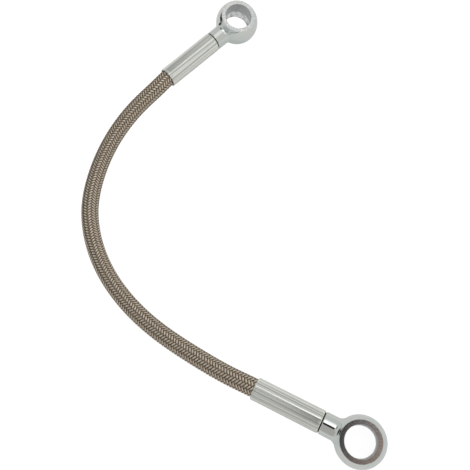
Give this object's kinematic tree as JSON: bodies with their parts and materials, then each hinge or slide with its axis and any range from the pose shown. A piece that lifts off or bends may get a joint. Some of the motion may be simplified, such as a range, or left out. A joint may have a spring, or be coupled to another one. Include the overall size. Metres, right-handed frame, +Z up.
{
  "type": "braided hose line with banjo ends",
  "caption": "Bowed oil feed line: a wire-braided hose with a crimped ferrule and a round banjo eye at each end.",
  "frame": {"origin": "on the surface that the line lies on, under the middle of the box of the two fittings and their ferrules", "axes": "+X from the near eye to the far eye, +Y towards the side that the hose bows to, +Z up out of the surface"},
  "size_m": [0.2136, 0.1008, 0.0164],
  "materials": {
    "plated_steel": "bright plated and lightly turned",
    "crimped_steel": "bright plated, drawn lengthwise by the crimp",
    "braid_wire": "woven fine wire with a warm grey-brown cast",
    "liner_ptfe": "smooth white tube"
  },
  "bodies": {
    "root": {"banjo_fitting_near": "plated_steel", "banjo_fitting_far": "plated_steel", "crimp_ferrule_near": "crimped_steel", "crimp_ferrule_far": "crimped_steel", "hose_braid": "braid_wire", "hose_liner": "liner_ptfe"}
  },
  "joints": []
}
